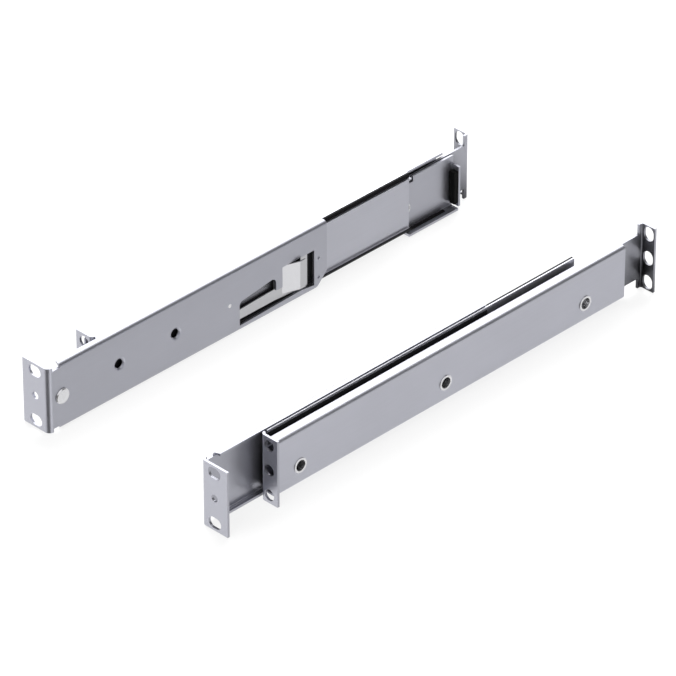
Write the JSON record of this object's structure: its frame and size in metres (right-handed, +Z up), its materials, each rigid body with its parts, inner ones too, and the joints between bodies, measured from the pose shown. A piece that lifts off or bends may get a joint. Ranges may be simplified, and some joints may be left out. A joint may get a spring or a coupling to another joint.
{
  "type": "sliding server rail pair",
  "caption": "Pair of zinc-plated telescopic server rack rails with rack flanges, ball-bearing slides, eared chassis members and release latches.",
  "frame": {"origin": "on the floor at the middle of the pair: the centre of the bottom of its box", "axes": "+Z up, -X towards the front of the rack (the ears), +Y towards the left rail"},
  "size_m": [0.3364, 0.1578, 0.0422],
  "materials": {
    "zinc_steel": "bluish zinc-plated sheet steel, satin",
    "bright_steel": "bright zinc-plated steel",
    "ball_steel": "polished balls",
    "white_plastic": "natural acetal",
    "black_plastic": "black acetal",
    "black_rubber": "matte black rubber"
  },
  "bodies": {
    "root": {"left_front_bracket": "zinc_steel", "left_end_bumper": "black_rubber", "left_glide_pad": "black_plastic", "left_outer_channel": "zinc_steel", "left_spacer_bushings": "bright_steel", "right_front_bracket": "zinc_steel", "right_end_bumper": "black_rubber", "right_glide_pad": "black_plastic", "right_outer_channel": "zinc_steel", "right_spacer_bushings": "bright_steel"},
    "left_inner": {"left_inner_member": "zinc_steel", "left_front_stud": "bright_steel", "left_latch_rivet": "bright_steel"},
    "left_latch": {"left_release_latch": "bright_steel"},
    "left_intermediate": {"left_intermediate_member": "zinc_steel", "left_carrier_plate": "zinc_steel", "left_lip_strip": "black_plastic", "left_guide_studs": "bright_steel", "left_guide_rollers": "white_plastic"},
    "left_cages": {"left_upper_ball_cage": "zinc_steel", "left_lower_ball_cage": "zinc_steel", "left_upper_balls": "ball_steel", "left_lower_balls": "ball_steel"},
    "left_rear": {"left_rear_bracket": "zinc_steel"},
    "right_inner": {"right_inner_member": "zinc_steel", "right_front_stud": "bright_steel", "right_latch_rivet": "bright_steel"},
    "right_latch": {"right_release_latch": "bright_steel"},
    "right_intermediate": {"right_intermediate_member": "zinc_steel", "right_carrier_plate": "zinc_steel", "right_lip_strip": "black_plastic", "right_guide_studs": "bright_steel", "right_guide_rollers": "white_plastic"},
    "right_cages": {"right_upper_ball_cage": "zinc_steel", "right_lower_ball_cage": "zinc_steel", "right_upper_balls": "ball_steel", "right_lower_balls": "ball_steel"},
    "right_rear": {"right_rear_bracket": "zinc_steel"}
  },
  "joints": [
    {"name": "left_rail_slide", "type": "slide", "parent": "root", "child": "left_intermediate", "axis": [-1, 0, 0], "range_m": [-0.033, 0.1]},
    {"name": "left_member_slide", "type": "slide", "parent": "left_intermediate", "child": "left_inner", "axis": [-1, 0, 0], "range_m": [-0.001, 0.09]},
    {"name": "left_cage_slide", "type": "slide", "parent": "left_intermediate", "child": "left_cages", "axis": [-1, 0, 0], "range_m": [-0.0005, 0.045]},
    {"name": "left_latch_press", "type": "hinge", "parent": "left_inner", "child": "left_latch", "pos_m": [-0.03125, 0.06095, 0.0202], "axis": [0, 0, 1], "range_deg": [0, 1.1], "stiffness_Nm_per_rad": 1},
    {"name": "left_depth_adjust", "type": "slide", "parent": "root", "child": "left_rear", "axis": [1, 0, 0], "range_m": [-0.016, 0.036]},
    {"name": "right_rail_slide", "type": "slide", "parent": "root", "child": "right_intermediate", "axis": [-1, 0, 0], "range_m": [-0.033, 0.1]},
    {"name": "right_member_slide", "type": "slide", "parent": "right_intermediate", "child": "right_inner", "axis": [-1, 0, 0], "range_m": [-0.001, 0.09]},
    {"name": "right_cage_slide", "type": "slide", "parent": "right_intermediate", "child": "right_cages", "axis": [-1, 0, 0], "range_m": [-0.0005, 0.045]},
    {"name": "right_latch_press", "type": "hinge", "parent": "right_inner", "child": "right_latch", "pos_m": [-0.03125, -0.06095, 0.0202], "axis": [0, 0, -1], "range_deg": [0, 1.1], "stiffness_Nm_per_rad": 1},
    {"name": "right_depth_adjust", "type": "slide", "parent": "root", "child": "right_rear", "axis": [1, 0, 0], "range_m": [-0.016, 0.036]}
  ],
  "couplings": [
    {"joint": "left_cage_slide", "follows": "left_member_slide", "ratio": 0.5},
    {"joint": "right_cage_slide", "follows": "right_member_slide", "ratio": 0.5}
  ]
}
